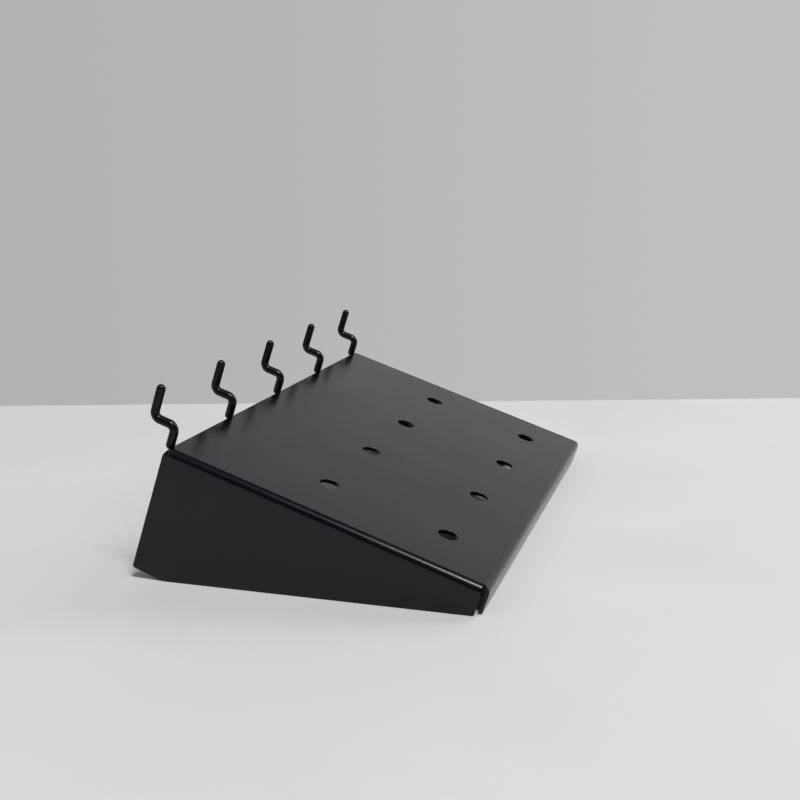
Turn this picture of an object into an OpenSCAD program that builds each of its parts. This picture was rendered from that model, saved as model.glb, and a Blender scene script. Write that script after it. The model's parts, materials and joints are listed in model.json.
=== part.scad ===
// Folded sheet shelf that hangs on a pegboard by five bent wire hooks,
// whose stems are welded to the plate's rear edge.
// It rests on the sloping edges of its side flanges, on the plane z = 0.
// Inside place() the shelf is level: y = 0 is the face of the pegboard,
// z = 0 is the top of the plate, and the front lip is at -y.

/* [Sheet] */
// Thickness of the sheet
sheet_t = 1.5; // [1.2:0.1:2]
// Outside radius of every fold
fold_r = 3; // [2.5:0.25:4]
// Width over both side flanges
shelf_w = 213; // [211:1:250]
// Depth from the face of the pegboard to the front of the lip
shelf_d = 133.4; // [128:0.2:140]

/* [Side flanges] */
// Height of a side flange at the rear, from the top of the plate
flange_rear_h = 51.4; // [40:0.2:60]
// Height of a side flange at the front, from the top of the plate
flange_front_h = 11.9; // [11.5:0.1:16]
// Length of the nearly level stretch at the rear of a flange's lower edge
heel_len = 13.5; // [10:0.5:25]
// How much the front end of that stretch is lower than its rear end
heel_drop = 0.3; // [0:0.1:1]
// Gap between the rear edge of a flange and the pegboard
flange_gap = 1.7; // [0.5:0.1:3]

/* [Front lip] */
// Height of the lip, from the top of the plate
lip_h = 10.5; // [8:0.25:11]
// Distance from the end of the lip to the outer face of a side flange
lip_inset = 2; // [1.6:0.1:2.4]
// Gap between the inside of the lip and the front edge of a flange
lip_gap = 0.9; // [0.8:0.1:1.5]

/* [Tool holes] */
// Diameter of a tool hole
hole_d = 8; // [6:0.5:12]
// Number of holes in a row
hole_columns = 4; // [2:1:4]
// Distance between neighbouring holes in a row
hole_pitch = 50.8; // [40:0.2:52]
// Distance between the two rows
row_pitch = 50; // [40:0.2:52]
// Distance from the front of the lip to the front row
hole_setback = 24.6; // [20:0.2:32]

/* [Wire hooks] */
// Diameter of the wire
wire_d = 3.5; // [3:0.1:4]
// Distance between neighbouring hooks, two steps of the pegboard's grid
hook_pitch = 50.8; // [45:0.2:50.8]
// Radius of a wire bend, at the middle of the wire
bend_r = 2.8; // [2.5:0.1:3.5]
// Height of the peg that enters the board, above the top of the plate
peg_h = 7.7; // [7.5:0.1:12]
// Thickness of the pegboard that the hook reaches behind
board_t = 6; // [5:0.5:8]
// Height of the hook's tip above the middle of the peg
tip_h = 13.4; // [10:0.1:18]
// Depth of the stem's lower end below the top of the plate
foot_depth = 1.9; // [1.6:0.1:2.4]

/* [Welds] */
// Length of a weld bead
weld_len = 5; // [4:0.2:5.6]
// Radius of a weld bead
weld_r = 1.2; // [1:0.1:1.4]

/* [Hidden] */
$fn = 64;
hooks = [1, 2, 3, 4, 5];

coat = "#202024";
half_w = shelf_w / 2;
flat_half = half_w - fold_r;            // where the side folds start
lip_half = half_w - lip_inset;
fold_front = -shelf_d + fold_r;         // where the lip's fold starts
flange_front = -shelf_d + sheet_t + lip_gap;
flange_rear = -flange_gap;
stem_y = -wire_d / 2;                   // the stems touch the board
stem_bite = 0.35;                       // how deep a stem sits in the plate's edge
plate_rear = -wire_d + stem_bite;
notch_gap = 0.05;                       // around a stem, where the plate makes room

// Corner details
relief_r = 1.1;
slit_w = 0.6;
slit_depth = 1.7;
slot_w = 0.7;
toe_r = 0.8;
heel_r = 1;
knee_r = 16;

// Holes
hole_rows = 2;
front_row = -shelf_d + hole_setback;

// The shelf leans back by this angle when it rests on its flange edges.
toe = [flange_front, -flange_front_h];
knee = [flange_rear - heel_len, -flange_rear_h - heel_drop];
heel = [flange_rear, -flange_rear_h];
lean = atan2(toe[1] - knee[1], knee[0] - toe[0]);
lift = -(knee[0] * sin(lean) + knee[1] * cos(lean));
heel_arc = rounded(knee, heel, [flange_rear, 0], heel_r);
// The frame's origin is under the middle of the leaning shelf.
rear_reach = max([for (p = heel_arc) p[0] * cos(lean) - p[1] * sin(lean)]);
fold_y = fold_front * cos(lean) + fold_r * sin(lean);
front_reach = fold_y - fold_r;
middle_y = (rear_reach + front_reach) / 2;

// Wire route in the plane across the board, from the stem's foot to the tip
foot = [stem_y, wire_d / 2 - foot_depth];
peg_front = [stem_y, peg_h];
peg_rear = [board_t + wire_d / 2, peg_h];
tip = [peg_rear[0], peg_h + tip_h - wire_d / 2];
route = [foot, peg_front, peg_rear, tip];

// Welds, under the plate's rear edge
weld_y = plate_rear - 0.2;
weld_z = -sheet_t - 0.5;

function hook_x(i) = (i - (len(hooks) + 1) / 2) * hook_pitch;
function unit(v) = v / norm(v);
function turn(a, b) = atan2(cross(a, b), a * b);
function bearing(v) = atan2(v[1], v[0]);
function side_of(v, s) = s * [-v[1], v[0]];

// Length that a bend at corner i of path p takes from each straight
function bend_cut(p, i) = i == 0 || i == len(p) - 1
    ? 0
    : bend_r * tan(abs(turn(p[i] - p[i - 1], p[i + 1] - p[i])) / 2);

// Points of an arc of radius r that rounds corner b between a and c
function rounded(a, b, c, r, steps = 8) =
    let (
        u = unit(b - a),
        v = unit(c - b),
        bend = turn(u, v),
        inward = side_of(u, sign(bend)),
        centre = b - u * r * tan(abs(bend) / 2) + inward * r,
        start = bearing(-inward)
    )
    [for (k = [0 : steps])
        centre + r * [cos(start + bend * k / steps), sin(start + bend * k / steps)]];

// Moves the level shelf to how it rests.
module place() {
    translate([0, -middle_y, lift]) rotate([lean, 0, 0]) children();
}

// Draws children in the plane across the board: x becomes y, y becomes z.
module across() {
    rotate([90, 0, 90]) children();
}

// Quarter ring of a fold, its flat sides facing -x and -y
module fold_section() {
    intersection() {
        difference() {
            circle(r = fold_r);
            circle(r = fold_r - sheet_t);
        }
        square(fold_r + 1);
    }
}

module side_flange() {
    front_top = [flange_front, -fold_r];
    outline = concat(
        [[flange_rear, -fold_r], front_top],
        rounded(front_top, toe, knee, toe_r),
        rounded(toe, knee, heel, knee_r),
        heel_arc
    );
    translate([half_w - sheet_t, 0, 0])
        across() linear_extrude(sheet_t) polygon(outline);
}

module side_fold() {
    length = flange_rear - fold_front;
    translate([flat_half, flange_rear, -fold_r])
        rotate([90, 0, 0]) linear_extrude(length) fold_section();
}

module front_lip() {
    translate([-lip_half, fold_front, -fold_r])
        rotate([90, 0, 90]) linear_extrude(2 * lip_half)
            mirror([1, 0]) fold_section();
    translate([-lip_half, -shelf_d, -lip_h])
        cube([2 * lip_half, sheet_t, lip_h - fold_r]);
}

module plate() {
    translate([-flat_half, fold_front, -sheet_t])
        cube([2 * flat_half, plate_rear - fold_front, sheet_t]);
}

module tool_holes() {
    for (row = [0 : hole_rows - 1], column = [0 : hole_columns - 1])
        translate([
            (column - (hole_columns - 1) / 2) * hole_pitch,
            front_row + row * row_pitch,
            -sheet_t - 1
        ])
            cylinder(h = sheet_t + 2, d = hole_d);
}

// Round-ended notch that parts the plate's rear edge from a side fold, with a slit
// across the fold. What is left of the fold behind the slit has a slanted top.
module rear_relief() {
    translate([flat_half, plate_rear, -fold_r])
        cylinder(h = fold_r + 1, r = relief_r);
    translate([flat_half - relief_r, plate_rear, -fold_r])
        cube([2 * relief_r, -plate_rear, fold_r + 1]);
    translate([flat_half, plate_rear - relief_r, -slit_depth])
        cube([fold_r + 1, slit_w, slit_depth + 1]);
    translate([flat_half, 0, 0]) across() linear_extrude(fold_r + 1)
        polygon([[1, -fold_r], [flange_rear, -fold_r], [plate_rear, 0], [plate_rear, 1], [1, 1]]);
}

// Shallow notches in the plate's rear edge, one for each stem
module stem_notches() {
    for (i = hooks)
        translate([hook_x(i), stem_y, -sheet_t - 1])
            cylinder(h = sheet_t + 2, r = wire_d / 2 + notch_gap);
}

// Slot that parts a side fold from the end of the lip
module front_relief() {
    translate([flat_half, fold_front - slot_w, -fold_r])
        cube([fold_r + 1, slot_w, fold_r + 1]);
}

module shelf_tray() {
    color(coat)
        difference() {
            union() {
                plate();
                front_lip();
                for (side = [0, 1]) mirror([side, 0, 0]) {
                    side_flange();
                    side_fold();
                }
            }
            tool_holes();
            stem_notches();
            for (side = [0, 1]) mirror([side, 0, 0]) {
                rear_relief();
                front_relief();
            }
        }
}

// Straight stretch of wire from a to b
module wire_straight(a, b) {
    translate(a) rotate([0, 0, bearing(b - a)]) rotate([0, 90, 0])
        cylinder(h = norm(b - a), d = wire_d);
}

// Bend of the wire at b, coming from a and leaving for c
module wire_bend(a, b, c) {
    u = unit(b - a);
    v = unit(c - b);
    bend = turn(u, v);
    inward = side_of(u, sign(bend));
    centre = b - u * bend_r * tan(abs(bend) / 2) + inward * bend_r;
    first = bend > 0 ? -inward : -side_of(v, sign(bend));
    translate(centre) rotate([0, 0, bearing(first)])
        rotate_extrude(angle = abs(bend)) translate([bend_r, 0]) circle(d = wire_d);
}

module wire_hook() {
    last = len(route) - 1;
    across() {
        for (i = [0 : last - 1]) {
            along = unit(route[i + 1] - route[i]);
            wire_straight(
                route[i] + along * bend_cut(route, i),
                route[i + 1] - along * bend_cut(route, i + 1)
            );
        }
        for (i = [1 : last - 1])
            wire_bend(route[i - 1], route[i], route[i + 1]);
        for (end = [foot, tip]) translate(end) sphere(d = wire_d);
    }
}

module peg_hook(i) {
    color(coat) translate([hook_x(i), 0, 0]) wire_hook();
}

// Bead across the foot of a stem, in the corner under the plate's rear edge
module weld_bead() {
    end = weld_len / 2 - weld_r;
    difference() {
        translate([0, weld_y, weld_z]) {
            for (x = [-end, end]) translate([x, 0, 0]) sphere(r = weld_r);
            translate([-end, 0, 0]) rotate([0, 90, 0])
                cylinder(h = 2 * end, r = weld_r);
        }
        translate([-weld_len, plate_rear - 4 * weld_r, -sheet_t])
            cube([2 * weld_len, 4 * weld_r, 4 * weld_r]);
        across() {
            wire_straight(foot, peg_front);
            translate(foot) sphere(d = wire_d);
        }
    }
}

// Weld at hook i's foot, kept clear of the nearer side fold
module weld(i) {
    color(coat)
        difference() {
            translate([hook_x(i), 0, 0]) weld_bead();
            mirror([hook_x(i) < 0 ? 1 : 0, 0, 0]) side_fold();
        }
}

place() shelf_tray();
for (i = hooks) {
    place() peg_hook(i);
    place() weld(i);
}
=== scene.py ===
"""Black folded sheet shelf with five wire hooks, lying on a pale table.

Lengths are in metres, in the CAD frame. The shelf's parts are described in a level frame of their own,
x along the hooks, y into the pegboard, z up from the plate, and level carries them to how the shelf rests.
"""
import json
import math

import bpy
from mathutils import Matrix, Vector, geometry, noise


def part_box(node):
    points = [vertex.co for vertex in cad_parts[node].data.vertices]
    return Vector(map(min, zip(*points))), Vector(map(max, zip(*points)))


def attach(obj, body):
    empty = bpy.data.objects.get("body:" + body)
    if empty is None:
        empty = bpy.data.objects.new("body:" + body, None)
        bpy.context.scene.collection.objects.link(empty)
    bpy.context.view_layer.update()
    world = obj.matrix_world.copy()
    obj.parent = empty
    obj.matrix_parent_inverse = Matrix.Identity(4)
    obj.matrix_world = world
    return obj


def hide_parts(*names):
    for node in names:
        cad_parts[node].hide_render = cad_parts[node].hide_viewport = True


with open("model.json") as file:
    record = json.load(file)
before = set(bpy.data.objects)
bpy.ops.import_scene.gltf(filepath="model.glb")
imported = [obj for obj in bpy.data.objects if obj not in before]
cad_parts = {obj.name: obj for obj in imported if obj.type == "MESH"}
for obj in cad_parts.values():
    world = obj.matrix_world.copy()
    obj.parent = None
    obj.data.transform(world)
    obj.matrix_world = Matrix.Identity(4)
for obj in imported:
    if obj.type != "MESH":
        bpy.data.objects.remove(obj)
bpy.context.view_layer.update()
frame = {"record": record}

MM = 0.001

# ---------------------------------------------------------------- sizes

SHEET = 1.5 * MM
FOLD_R = 3.0 * MM          # of the outer skin
DEPTH = 133.395 * MM       # from the board's face to the front of the lip
COAT_EDGE = 0.15 * MM      # radius that the powder coat leaves on a cut edge

FLANGE_REAR_H = 51.395 * MM
FLANGE_FRONT_H = 11.895 * MM
FLANGE_GAP = 1.705 * MM    # between the flanges and the board's face
HEEL_LEN = 13.5 * MM       # the nearly level stretch at the rear of a flange's lower edge
HEEL_DROP = 0.3 * MM
TOE_R, KNEE_R, HEEL_R = 0.8 * MM, 16.0 * MM, 1.0 * MM

LIP_H = 10.5 * MM
LIP_INSET = 2.0 * MM       # at each end of the lip
LIP_GAP = 0.9 * MM         # between the lip's inner skin and the flanges
LIP_CORNER_R = 0.5 * MM
SLOT_W = 0.7 * MM          # of the cut between a side fold and the front fold
SNUG = 0.02 * MM           # how far that cut reaches past the ends of the folds
LEDGE_DROP = 0.3 * MM      # below a side fold, where the front edge of its flange starts
LEDGE_SLANT = 0.2 * MM     # how much lower it is again at its front end

HOLE_R = 4.0 * MM
HOLE_COLUMNS = 4
HOLE_PITCH = 50.8 * MM
ROW_PITCH = 50.0 * MM
HOLE_SETBACK = 24.6 * MM   # from the front of the lip to the front row

RELIEF_R = 1.1 * MM        # notch at the rear end of a side fold
SLIT_W = 0.6 * MM
SLIT_LEN = 3.4 * MM        # across the side fold, along its skin
EAR_START = 1.5 * MM       # along the same skin, where the ear behind the slit starts
EAR_RISE = 0.15 * MM       # from the plate's rear edge to the ear's corner

WIRE_R = 1.745 * MM
WIRE_MID = 1.75 * MM       # from either face of the board to the wire's middle line
BEND_R = 2.8 * MM          # of the wire's middle line
PEG_H = 7.7 * MM
BOARD = 6.0 * MM
TIP_H = 13.395 * MM
FOOT_DEPTH = 1.9 * MM
STEM_BITE = 0.35 * MM      # how deep a stem sits in the plate's rear edge
NOTCH_R = 1.8 * MM

WELD_LEN = 5.0 * MM
WELD_R = 1.2 * MM
WELD_BACK = 0.2 * MM
WELD_DROP = 0.5 * MM

HOOKS = (1, 2, 3, 4, 5)

# ---------------------------------------------------------------- places, from the frame

mounts = {m["name"]: m for m in frame["record"]["mounts"]}
into_board = Vector(mounts["pegboard"]["axis"]).normalized()
plate_up = Vector(mounts["shelf_face"]["axis"]).normalized()
level_origin = Vector(mounts["pegboard"]["pos_m"]) - plate_up * PEG_H
level = Matrix.Translation(level_origin) @ Matrix((
    (1.0, into_board.x, plate_up.x, 0.0),
    (0.0, into_board.y, plate_up.y, 0.0),
    (0.0, into_board.z, plate_up.z, 0.0),
    (0.0, 0.0, 0.0, 1.0),
))

tray_low, tray_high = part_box("shelf_tray")
half_w = (tray_high[0] - tray_low[0]) / 2
flat_half = half_w - FOLD_R
lip_half = half_w - LIP_INSET
fold_front = -DEPTH + FOLD_R
flange_front = -DEPTH + SHEET + LIP_GAP
stem_y = -WIRE_MID
plate_rear = 2 * stem_y + STEM_BITE
arc = FOLD_R * math.pi / 2


def hook_x(i):
    low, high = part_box(f"peg_hook_{i}")
    return (low[0] + high[0]) / 2


# ---------------------------------------------------------------- mesh helpers

FACE_WEIGHT = 90


def make_piece(name, vertices, faces, material, node):
    """A smooth-shaded mesh that stands for one CAD node, from points in the level frame."""
    mesh = bpy.data.meshes.new(name)
    mesh.from_pydata([level @ Vector(v) for v in vertices], [], faces)
    mesh.validate()
    mesh.update()
    mesh.shade_smooth()
    mesh.materials.append(material)
    piece = bpy.data.objects.new(name, mesh)
    bpy.context.collection.objects.link(piece)
    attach(piece, "root")
    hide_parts(node)
    return piece


def even_normals(piece):
    """Lets flat faces keep their own normal, so that only the rounded edges and folds shade round."""
    modifier = piece.modifiers.new("even_normals", "WEIGHTED_NORMAL")
    modifier.mode = "FACE_AREA"
    modifier.weight = FACE_WEIGHT
    modifier.keep_sharp = False


def arc_points(centre, radius, start, sweep, steps):
    return [
        (
            centre[0] + radius * math.cos(start + sweep * k / steps),
            centre[1] + radius * math.sin(start + sweep * k / steps),
        )
        for k in range(steps + 1)
    ]


def rounded(before, corner, after, radius, steps):
    """Points of the arc that rounds a corner."""
    a, b, c = Vector(before), Vector(corner), Vector(after)
    u, v = (b - a).normalized(), (c - b).normalized()
    bend = math.atan2(u.x * v.y - u.y * v.x, u.dot(v))
    inward = Vector((-u.y, u.x)) * math.copysign(1.0, bend)
    centre = b - u * radius * math.tan(abs(bend) / 2) + inward * radius
    start = math.atan2(-inward.y, -inward.x)
    return arc_points(centre, radius, start, bend, steps)


# ---------------------------------------------------------------- tray

FOLD_STEPS = 14
EDGE_STEPS = 4
CORNER_STEPS = 8
LIP_CORNER_STEPS = 4
NOTCH_STEPS = 6
HOLE_SIDES = 64

TOUCH = 1e-7               # points closer than this are one point
PATTERN_TOUCH = 1e-9       # the same while the flat pattern is cut into faces
MIDDLE_CLEAR = 0.1 * MM    # notch points must lie this far right of the middle
HORN_CLEAR = 0.4 * MM      # arc points nearer than this to where two arcs meet are left out
INSIDE_OUTLINE = 5         # kind of pattern: faces inside the outline, with the round holes still filled


def bend_round(s, depth):
    """Distance out from the fold's start, and height, at arc length s along the outer skin."""
    if s <= arc:
        angle = s / FOLD_R
        return (FOLD_R - depth) * math.sin(angle), (FOLD_R - depth) * math.cos(angle) - FOLD_R
    return FOLD_R - depth, -FOLD_R - (s - arc)


def fold_point(u, v, depth):
    """Where a point of the flat blank goes once it is folded. depth is measured in from the outer skin."""
    side = math.copysign(1.0, u)
    s = abs(u) - flat_half
    t = fold_front - v
    if s > 0 and v > fold_front - SLOT_W:
        x, z = bend_round(s, depth)
        return (side * (flat_half + x), v, z)
    if t > 0:
        y, z = bend_round(t, depth)
        return (u, fold_front - y, z)
    return (u, v, -depth)


def circles_meet(a, radius_a, b, radius_b):
    """The lower of the two points where two circles cross."""
    a, b = Vector(a), Vector(b)
    gap = (b - a).length
    way = (b - a) / gap
    along = (radius_a ** 2 - radius_b ** 2 + gap ** 2) / (2 * gap)
    off = math.sqrt(radius_a ** 2 - along ** 2)
    middle, across = a + way * along, Vector((-way.y, way.x)) * off
    return tuple(min((middle - across, middle + across), key=lambda p: p.y))


def rear_edge():
    """Right half of the plate's rear edge: the stems' shallow notches, then the relief beside the fold."""
    open_half = math.acos((stem_y - plate_rear) / NOTCH_R)
    points = [(0.0, stem_y - NOTCH_R)]
    for x in map(hook_x, HOOKS):
        notch = arc_points((x, stem_y), NOTCH_R, -math.pi / 2 - open_half, 2 * open_half, NOTCH_STEPS)
        points += [p for p in notch if p[0] > MIDDLE_CLEAR]
    horn = circles_meet((flat_half, plate_rear), RELIEF_R, (hook_x(HOOKS[-1]), stem_y), NOTCH_R)
    relief = arc_points((flat_half, plate_rear), RELIEF_R, math.pi, math.pi / 2, NOTCH_STEPS)
    points = [p for p in points if p[0] < horn[0] - HORN_CLEAR]
    relief = [p for p in relief if p[1] < horn[1] - HORN_CLEAR]
    return points + [horn] + relief


def blank_outline():
    """Right half of the flat blank's outline, from the middle of the rear edge to the middle of the lip."""
    fold_end = flat_half + arc
    slit = plate_rear - RELIEF_R
    slit_end = flat_half + SLIT_LEN
    ear = flat_half + EAR_START
    rear_top = (fold_end, -FLANGE_GAP)
    rear_low = (fold_end + FLANGE_REAR_H - FOLD_R, -FLANGE_GAP)
    knee = (rear_low[0] + HEEL_DROP, -FLANGE_GAP - HEEL_LEN)
    toe = (fold_end + FLANGE_FRONT_H - FOLD_R, flange_front)
    ledge = fold_end + LEDGE_DROP
    slot_end = (flat_half - SNUG, fold_front + SNUG)
    slot_low = fold_front - SLOT_W
    lip_top = (lip_half, slot_low)
    lip_low = fold_front - arc - (LIP_H - FOLD_R)

    points = rear_edge()
    points += [(slit_end, slit), (slit_end, slit + SLIT_W), (ear, slit + SLIT_W)]
    points += [(ear, plate_rear + EAR_RISE), rear_top]
    points += rounded(rear_top, rear_low, knee, HEEL_R, CORNER_STEPS)
    points += rounded(rear_low, knee, toe, KNEE_R, CORNER_STEPS)
    points += rounded(knee, toe, (ledge, flange_front), TOE_R, CORNER_STEPS)
    points += [(ledge + LEDGE_SLANT, flange_front), (ledge, slot_end[1])]
    points += [slot_end, (slot_end[0], slot_low), lip_top]
    points += rounded(lip_top, (lip_half, lip_low), (0.0, lip_low), LIP_CORNER_R, LIP_CORNER_STEPS)
    points += [(0.0, lip_low)]
    return points


def without_doubles(loop):
    return [p for k, p in enumerate(loop) if math.dist(p, loop[k - 1]) > TOUCH]


def shifted(loop, distance):
    """The loop moved to its left by distance, corner by corner."""
    moved = []
    for k, p in enumerate(loop):
        before, after = Vector(loop[k - 1]), Vector(loop[(k + 1) % len(loop)])
        here = Vector(p)
        u, v = (here - before).normalized(), (after - here).normalized()
        n = Vector((-u.y - v.y, u.x + v.x)).normalized()
        moved.append(tuple(here + n * distance / n.dot(Vector((-u.y, u.x)))))
    return moved


def fold_line_places():
    """(axis, place) of every line that the folds are stepped along, on the blank."""
    lines = []
    for k in range(FOLD_STEPS + 1):
        along = arc * k / FOLD_STEPS
        lines += [(0, flat_half + along), (0, -flat_half - along), (1, fold_front - along)]
    return lines


def crosses(a, b, axis, place):
    """Share of the way from a to b where a fold line is met, or None. Side folds end at the front cuts."""
    if (a[axis] - place) * (b[axis] - place) >= 0:
        return None
    share = (place - a[axis]) / (b[axis] - a[axis])
    other = a[1 - axis] + (b[1 - axis] - a[1 - axis]) * share
    if axis == 0 and other < fold_front:
        return None
    if axis == 1 and abs(other) > half_w:
        return None
    return share


def split_at_folds(loop):
    """Adds a point wherever the outline crosses one of the fold lines."""
    lines = fold_line_places()
    out = []
    for k, a in enumerate(loop):
        b = loop[(k + 1) % len(loop)]
        shares = sorted(s for s in (crosses(a, b, *line) for line in lines) if s is not None)
        out.append(a)
        out += [(a[0] + (b[0] - a[0]) * s, a[1] + (b[1] - a[1]) * s) for s in shares]
    return without_doubles(out)


def fold_line_ends(outline):
    """Pairs of outline points that a fold line joins, so that every face lies on one step of a fold."""
    pairs = []
    for axis, place in fold_line_places():
        ends = [
            i for i, p in enumerate(outline)
            if abs(p[axis] - place) < TOUCH
            and (p[1] > fold_front if axis == 0 else abs(p[0]) < half_w)
        ]
        ends.sort(key=lambda i: outline[i][1 - axis])
        pairs += zip(ends[::2], ends[1::2])
    return pairs


def hole_centres():
    first_x = -HOLE_PITCH * (HOLE_COLUMNS - 1) / 2
    columns = [first_x + HOLE_PITCH * k for k in range(HOLE_COLUMNS)]
    front_row = -DEPTH + HOLE_SETBACK
    return [(x, y) for y in (front_row, front_row + ROW_PITCH) for x in columns]


def fills_a_hole(corners, rim_count):
    """Whether a face of the pattern has all its corners on the edge of one hole, and so would close it."""
    holes = {(k - rim_count) // HOLE_SIDES for k in corners}
    return all(k >= rim_count for k in corners) and len(holes) == 1


def build_tray(material):
    """The folded sheet: both skins are cut from one flat pattern, and a rounded rim joins them."""
    right_half = blank_outline()
    left_half = [(-x, y) for x, y in reversed(right_half[1:-1])]
    outline = shifted(without_doubles(list(reversed(right_half + left_half))), COAT_EDGE)
    loops = [split_at_folds(outline)]
    loops += [arc_points(c, HOLE_R + COAT_EDGE, 0.0, -2 * math.pi, HOLE_SIDES)[:-1] for c in hole_centres()]

    quarter = [math.pi / 2 * k / EDGE_STEPS for k in range(EDGE_STEPS + 1)]
    rim = [(COAT_EDGE * math.sin(a), COAT_EDGE * (1 - math.cos(a))) for a in quarter]
    rim += [(out, SHEET - depth) for out, depth in reversed(rim)]

    vertices, faces, flat, edges, skins = [], [], [], [], ([], [])
    for loop in loops:
        rings = []
        for out, depth in rim:
            rings.append(range(len(vertices), len(vertices) + len(loop)))
            vertices += [fold_point(u, v, depth) for u, v in shifted(loop, -out)]
        for a, b in zip(rings, rings[1:]):
            for k in range(len(loop)):
                j = (k + 1) % len(loop)
                faces.append((a[j], a[k], b[k], b[j]))
        start, count = len(flat), len(loop)
        flat += [Vector(p) for p in loop]
        edges += [(start + k, start + (k + 1) % count) for k in range(count)]
        skins[0].extend(rings[0])
        skins[1].extend(rings[-1])

    edges += fold_line_ends(loops[0])
    cut = geometry.delaunay_2d_cdt(flat, edges, [], INSIDE_OUTLINE, PATTERN_TOUCH)
    pattern, origins = cut[2], cut[3]
    for face in pattern:
        corners = [origins[k][0] for k in face]
        if fills_a_hole(corners, len(loops[0])):
            continue
        faces.append(tuple(skins[0][k] for k in corners))
        faces.append(tuple(skins[1][k] for k in reversed(corners)))
    even_normals(make_piece("shelf_sheet", vertices, faces, material, "shelf_tray"))


# ---------------------------------------------------------------- wire hooks

WIRE_SIDES = 32
BEND_STEPS = 12
DOME_STEPS = 7
POLE_GAP = 0.25            # of a step, that a dome's last ring falls short of its pole by


def wire_route():
    """(y, z) corners of the wire's middle line, from the foot's dome to the tip's."""
    upper_y = BOARD + WIRE_MID
    return [
        (stem_y, WIRE_R - FOOT_DEPTH),
        (stem_y, PEG_H),
        (upper_y, PEG_H),
        (upper_y, PEG_H + TIP_H - WIRE_R),
    ]


def wire_stations():
    """(centre, direction, radius) along the wire, with a dome at each end."""
    corners = wire_route()
    line = [corners[0]]
    for k in range(1, len(corners) - 1):
        line += rounded(corners[k - 1], corners[k], corners[k + 1], BEND_R, BEND_STEPS)
    line.append(corners[-1])
    points = [Vector(p) for p in line]
    stations = []
    for k, p in enumerate(points):
        leaving = (points[min(k + 1, len(points) - 1)] - p).normalized()
        arriving = (p - points[max(k - 1, 0)]).normalized()
        stations.append((p, (leaving + arriving).normalized(), WIRE_R))

    dome = [math.pi / 2 * k / (DOME_STEPS + POLE_GAP) for k in range(1, DOME_STEPS + 1)]
    foot_way, tip_way = stations[0][1], stations[-1][1]
    foot = [(points[0] - foot_way * WIRE_R * math.sin(a), foot_way, WIRE_R * math.cos(a)) for a in dome]
    tip = [(points[-1] + tip_way * WIRE_R * math.sin(a), tip_way, WIRE_R * math.cos(a)) for a in dome]
    return foot[::-1] + stations + tip


def tube_faces(rings, sides):
    """Quads that join each ring of points to the next."""
    faces = []
    for ring in range(rings - 1):
        a, b = ring * sides, (ring + 1) * sides
        for k in range(sides):
            j = (k + 1) % sides
            faces.append((a + k, a + j, b + j, b + k))
    return faces


def build_hook(i, material):
    stations = wire_stations()
    x0 = hook_x(i)
    vertices = []
    for centre, way, radius in stations:
        across = Vector((-way.y, way.x))
        for k in range(WIRE_SIDES):
            a = 2 * math.pi * k / WIRE_SIDES
            side = across * radius * math.sin(a)
            vertices.append((x0 + radius * math.cos(a), centre.x + side.x, centre.y + side.y))
    faces = tube_faces(len(stations), WIRE_SIDES)

    foot_pole, tip_pole = len(vertices), len(vertices) + 1
    foot, tip = wire_route()[0], wire_route()[-1]
    vertices.append((x0, foot[0], foot[1] - WIRE_R))
    vertices.append((x0, tip[0], tip[1] + WIRE_R))
    last = (len(stations) - 1) * WIRE_SIDES
    for k in range(WIRE_SIDES):
        j = (k + 1) % WIRE_SIDES
        faces.append((j, k, foot_pole))
        faces.append((last + k, last + j, tip_pole))
    make_piece(f"wire_{i}", vertices, faces, material, f"peg_hook_{i}")


# ---------------------------------------------------------------- welds

RIPPLES = 5
RIPPLE_STEPS = 6
BEAD_SIDES = 28
BEAD_FILL = 0.9            # of the CAD bead's radius, between two ripples
RIPPLE_RISE = 0.06         # both of these are shares of that radius too
WOBBLE = 0.04
WOBBLE_STEP = 7.0          # from one bead's noise to the next one's
WOBBLE_STRETCH = 4.0       # noise units along half a bead


def out_of_sheet(y, z):
    """The point itself, or the nearest one on the plate's underside or rear edge if it lies in the sheet."""
    over, inside = z + SHEET, plate_rear - y
    if over <= 0 or inside <= 0:
        return y, z
    return (y, -SHEET) if over < inside else (plate_rear, z)


def build_weld(i, material):
    """Rippled bead across the foot of a stem, in the corner under the plate's rear edge."""
    x0 = hook_x(i)
    y0, z0 = plate_rear - WELD_BACK, -SHEET - WELD_DROP
    rows = RIPPLES * RIPPLE_STEPS
    vertices = []
    for row in range(rows + 1):
        along = 2 * row / rows - 1
        cap = max(0.0, abs(along) * WELD_LEN / 2 - (WELD_LEN / 2 - WELD_R))
        full = math.sqrt(max(0.0, WELD_R ** 2 - cap ** 2))
        ripple = abs(math.sin(math.pi * RIPPLES * row / rows))
        for k in range(BEAD_SIDES):
            a = 2 * math.pi * k / BEAD_SIDES
            wobble = WOBBLE * noise.noise(Vector((i * WOBBLE_STEP, along * WOBBLE_STRETCH, a)))
            r = full * (BEAD_FILL + RIPPLE_RISE * ripple + wobble)
            y, z = out_of_sheet(y0 + r * math.cos(a), z0 + r * math.sin(a))
            vertices.append((x0 + along * WELD_LEN / 2, y, z))
    faces = tube_faces(rows + 1, BEAD_SIDES)
    make_piece(f"weld_bead_{i}", vertices, faces, material, f"weld_{i}")


# ---------------------------------------------------------------- node helpers

def new_material(name):
    material = bpy.data.materials.new(name)
    material.use_nodes = True
    nodes, links = material.node_tree.nodes, material.node_tree.links
    return material, nodes, links, nodes["Principled BSDF"]


def feed(links, socket, value):
    """Links the socket to another node's output, or sets it where the value is plain."""
    if isinstance(value, bpy.types.NodeSocket):
        links.new(value, socket)
    else:
        socket.default_value = value


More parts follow.
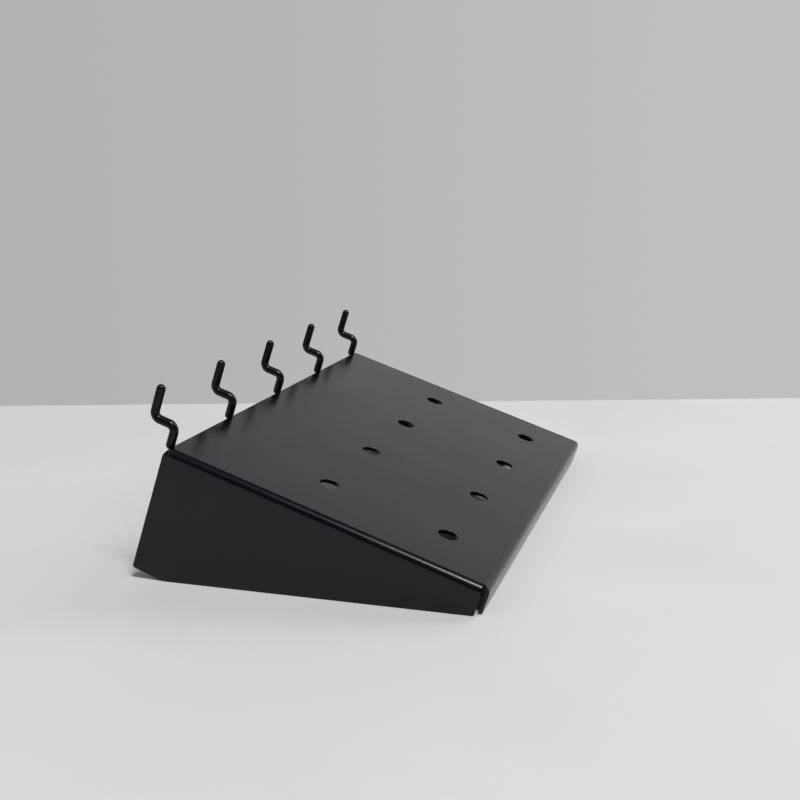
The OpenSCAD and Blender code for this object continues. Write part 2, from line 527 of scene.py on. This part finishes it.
def add_noise(nodes, links, scale, detail):
    """Noise in object space, so it stays put on the surface."""
    place = nodes.new("ShaderNodeTexCoord")
    texture = nodes.new("ShaderNodeTexNoise")
    texture.inputs["Scale"].default_value = scale
    texture.inputs["Detail"].default_value = detail
    links.new(place.outputs["Object"], texture.inputs["Vector"])
    return texture.outputs["Fac"]


def remap(nodes, links, value, low, high, to_low, to_high, easing="LINEAR"):
    node = nodes.new("ShaderNodeMapRange")
    node.interpolation_type = easing
    for name, number in (("From Min", low), ("From Max", high), ("To Min", to_low), ("To Max", to_high)):
        node.inputs[name].default_value = number
    links.new(value, node.inputs["Value"])
    return node.outputs["Result"]


def combine(nodes, links, operation, first, second):
    node = nodes.new("ShaderNodeMath")
    node.operation = operation
    for socket, value in zip(node.inputs, (first, second)):
        feed(links, socket, value)
    return node.outputs["Value"]


def mix_colours(nodes, links, share, first, second):
    """A colour that goes from first to second as share goes from 0 to 1."""
    node = nodes.new("ShaderNodeMix")
    node.data_type = "RGBA"
    for name, value in (("Factor", share), ("A", first), ("B", second)):
        feed(links, node.inputs[name], value)
    return node.outputs["Result"]


def add_bump(nodes, links, height, distance, before=None):
    node = nodes.new("ShaderNodeBump")
    node.inputs["Distance"].default_value = distance
    node.inputs["Strength"].default_value = BUMP_STRENGTH
    links.new(height, node.inputs["Height"])
    if before is not None:
        links.new(before, node.inputs["Normal"])
    return node.outputs["Normal"]


# ---------------------------------------------------------------- materials

BLACK = (0.0005, 0.0004, 0.0024, 1.0)
BLACK_LIGHT = (0.0013, 0.0011, 0.0040, 1.0)
GRAIN_SCALE = 900.0        # every scale is in noise cells per metre
GLOSS_SCALE = 38.0
PEEL_SCALE, PEEL_DEPTH = 700.0, 0.02 * MM
FINE_SCALE, FINE_DEPTH = 3200.0, 0.006 * MM
BUMP_STRENGTH = 0.2

NOISE_SPAN = (0.3, 0.7)    # the stretch of a noise's values that is spread over the whole effect
GRAIN_SPAN = (0.35, 0.7)
FINE_DETAIL, MID_DETAIL, COARSE_DETAIL = 2.0, 3.0, 4.0

DUST_COLOUR = (0.35, 0.34, 0.33, 1.0)
DUST_SCALE = 60.0
DUST_EDGE = (0.012, 0.024) # inner and outer radius of a speck, in cells
DUST_KEPT = (0.72, 0.74)   # only cells with a random value above these have a speck
DUST_COVER = 0.6

TABLE_DARK = (0.55, 0.55, 0.55, 1.0)
TABLE_LIGHT = (0.58, 0.58, 0.58, 1.0)
TABLE_ROUGHNESS = 0.6
MOTTLE_SCALE = 9.0
TABLE_GRAIN_SCALE, TABLE_GRAIN_DEPTH = 1500.0, 0.02 * MM


def add_dust(nodes, links, colour):
    """The colour with a few specks of dust on it."""
    place = nodes.new("ShaderNodeTexCoord")
    cells = nodes.new("ShaderNodeTexVoronoi")
    cells.inputs["Scale"].default_value = DUST_SCALE
    cells.inputs["Randomness"].default_value = 1.0
    links.new(place.outputs["Object"], cells.inputs["Vector"])
    speck = remap(nodes, links, cells.outputs["Distance"], *DUST_EDGE, 1.0, 0.0)
    chosen = nodes.new("ShaderNodeSeparateColor")
    links.new(cells.outputs["Color"], chosen.inputs["Color"])
    kept = remap(nodes, links, chosen.outputs["Red"], *DUST_KEPT, 0.0, DUST_COVER)
    return mix_colours(nodes, links, combine(nodes, links, "MULTIPLY", speck, kept), colour, DUST_COLOUR)


def powder_coat(name, ior, smooth, rough, dusty=False):
    """Semi-gloss black powder coat: fine orange peel, slightly uneven gloss, and dust where asked for."""
    material, nodes, links, shader = new_material(name)
    shader.inputs["IOR"].default_value = ior

    cloud = add_noise(nodes, links, GLOSS_SCALE, MID_DETAIL)
    links.new(remap(nodes, links, cloud, *NOISE_SPAN, smooth, rough), shader.inputs["Roughness"])

    grain = add_noise(nodes, links, GRAIN_SCALE, FINE_DETAIL)
    share = remap(nodes, links, grain, *GRAIN_SPAN, 0.0, 1.0)
    colour = mix_colours(nodes, links, share, BLACK, BLACK_LIGHT)
    if dusty:
        colour = add_dust(nodes, links, colour)
    links.new(colour, shader.inputs["Base Color"])

    coarse = add_noise(nodes, links, PEEL_SCALE, FINE_DETAIL)
    fine = add_noise(nodes, links, FINE_SCALE, FINE_DETAIL)
    peel = add_bump(nodes, links, coarse, PEEL_DEPTH)
    links.new(add_bump(nodes, links, fine, FINE_DEPTH, peel), shader.inputs["Normal"])
    return material


def table_paint():
    """Matt white paint with a faint mottle and a fine grain."""
    material, nodes, links, shader = new_material("table_paint")
    shader.inputs["Roughness"].default_value = TABLE_ROUGHNESS
    mottle = add_noise(nodes, links, MOTTLE_SCALE, COARSE_DETAIL)
    share = remap(nodes, links, mottle, *NOISE_SPAN, 0.0, 1.0)
    links.new(mix_colours(nodes, links, share, TABLE_DARK, TABLE_LIGHT), shader.inputs["Base Color"])
    grain = add_noise(nodes, links, TABLE_GRAIN_SCALE, MID_DETAIL)
    links.new(add_bump(nodes, links, grain, TABLE_GRAIN_DEPTH), shader.inputs["Normal"])
    return material


# ---------------------------------------------------------------- the object

sheet_coat = powder_coat("sheet_coat", ior=1.41, smooth=0.22, rough=0.27, dusty=True)
wire_coat = powder_coat("wire_coat", ior=1.33, smooth=0.26, rough=0.32)
weld_coat = powder_coat("weld_coat", ior=1.36, smooth=0.30, rough=0.40)

build_tray(sheet_coat)
for hook in HOOKS:
    build_hook(hook, wire_coat)
    build_weld(hook, weld_coat)

# ---------------------------------------------------------------- camera

CAMERA_PLACE = Vector((-472.4, -152.2, 162.0)) * MM
CAMERA_AZIMUTH = math.radians(-72.74)     # 0 looks along +y
CAMERA_ELEVATION = math.radians(12.545)
CAMERA_ROLL = math.radians(-0.55)
CAMERA_LENS = 51.26
CAMERA_SENSOR = 36.0

camera_data = bpy.data.cameras.new("camera")
camera_data.lens = CAMERA_LENS
camera_data.sensor_width = CAMERA_SENSOR
camera = bpy.data.objects.new("camera", camera_data)
bpy.context.collection.objects.link(camera)
look = Vector((
    -math.sin(CAMERA_AZIMUTH) * math.cos(CAMERA_ELEVATION),
    math.cos(CAMERA_AZIMUTH) * math.cos(CAMERA_ELEVATION),
    -math.sin(CAMERA_ELEVATION),
))
turn = look.to_track_quat("-Z", "Y").to_matrix().to_4x4() @ Matrix.Rotation(CAMERA_ROLL, 4, "Z")
camera.matrix_world = Matrix.Translation(CAMERA_PLACE) @ turn
bpy.context.scene.camera = camera

# ---------------------------------------------------------------- table, room and light

TABLE_EDGE = 0.2365           # from the origin to the table's far edge, along the view
TABLE_REACH = 6.0
TABLE_THICK = 0.03
TABLE_ROUND = 0.012           # radius of the far edge
ROUND_STEPS = 24

ROOM_COLOUR = (1.0, 1.0, 1.01, 1.0)
WALL = 0.515                  # glow of the room ahead
WALL_LEFT, WALL_RIGHT = 0.98, 1.16
BEHIND = 0.07                 # and of the room behind the camera
CEILING = 0.20                # share of the wall's glow that the ceiling has
BACKDROP = 0.452              # what the camera sees of the room in every direction
AHEAD_FADE = (0.1, 0.8)       # each fade runs between two values of a direction's cosine
SIDE_FADE = (-0.4, 0.4)
CEILING_FADE = (0.45, 0.85)

ahead = Vector((look.x, look.y, 0.0)).normalized()
left = Vector((-ahead.y, ahead.x, 0.0))
up = Vector((0.0, 0.0, 1.0))


def build_table(material):
    """Table top with a straight far edge, rounded over."""
    round_centre = (TABLE_EDGE - TABLE_ROUND, -TABLE_ROUND)
    profile = [(-TABLE_REACH, 0.0)]
    profile += arc_points(round_centre, TABLE_ROUND, math.pi / 2, -math.pi / 2, ROUND_STEPS)
    profile += [(TABLE_EDGE, -TABLE_THICK), (-TABLE_REACH, -TABLE_THICK)]
    vertices, faces = [], []
    for end in (-TABLE_REACH, TABLE_REACH):
        vertices += [ahead * p + left * end + up * z for p, z in profile]
    count = len(profile)
    for k in range(count):
        j = (k + 1) % count
        faces.append((k, j, count + j, count + k))
    faces += [tuple(range(count))[::-1], tuple(range(count, 2 * count))]
    mesh = bpy.data.meshes.new("table")
    mesh.from_pydata(vertices, [], faces)
    for face in mesh.polygons:
        face.use_smooth = 1 <= face.index <= ROUND_STEPS
    mesh.update()
    mesh.materials.append(material)
    table = bpy.data.objects.new("table", mesh)
    bpy.context.collection.objects.link(table)


def build_room():
    """A pale room whose light comes mostly from ahead of the camera. The backdrop is pale all round."""
    world = bpy.data.worlds.new("room")
    bpy.context.scene.world = world
    world.use_nodes = True
    nodes, links = world.node_tree.nodes, world.node_tree.links
    place = nodes.new("ShaderNodeTexCoord")

    def towards(way, fade, start, end):
        """A value that goes from start to end as the direction turns towards way."""
        dot = nodes.new("ShaderNodeVectorMath")
        dot.operation = "DOT_PRODUCT"
        dot.inputs[1].default_value = way
        links.new(place.outputs["Generated"], dot.inputs[0])
        return remap(nodes, links, dot.outputs["Value"], *fade, start, end, easing="SMOOTHSTEP")

    sideways = towards(-left, SIDE_FADE, WALL_LEFT, WALL_RIGHT)
    height = towards(up, CEILING_FADE, 1.0, CEILING)
    wall = combine(nodes, links, "MULTIPLY", sideways, height)
    wall = combine(nodes, links, "MULTIPLY", wall, WALL - BEHIND)
    wall = combine(nodes, links, "MULTIPLY", wall, towards(ahead, AHEAD_FADE, 0.0, 1.0))

    path = nodes.new("ShaderNodeLightPath")
    pick = nodes.new("ShaderNodeMix")
    links.new(path.outputs["Is Camera Ray"], pick.inputs["Factor"])
    links.new(combine(nodes, links, "ADD", wall, BEHIND), pick.inputs["A"])
    links.new(combine(nodes, links, "MULTIPLY", sideways, BACKDROP), pick.inputs["B"])
    background = nodes["Background"]
    background.inputs["Color"].default_value = ROOM_COLOUR
    links.new(pick.outputs["Result"], background.inputs["Strength"])


def add_lamp(name, place, side, radiance):
    """A square softbox that faces the shelf and that the camera doesn't see."""
    data = bpy.data.lights.new(name, "AREA")
    data.shape = "SQUARE"
    data.size = side
    data.energy = radiance * math.pi * side ** 2
    lamp = bpy.data.objects.new(name, data)
    bpy.context.collection.objects.link(lamp)
    lamp.location = place
    lamp.rotation_mode = "QUATERNION"
    lamp.rotation_quaternion = (-Vector(place)).to_track_quat("-Z", "Y")
    lamp.visible_camera = False


build_table(table_paint())
build_room()
add_lamp("overhead", (-1.74, -2.03, 4.74), side=1.5, radiance=41.5)
add_lamp("right", (1.00, -1.00, 1.00), side=0.9, radiance=3.8)
add_lamp("left", (-1.10, 1.20, 1.47), side=1.0, radiance=1.6)

bpy.context.scene.view_settings.view_transform = "Standard"
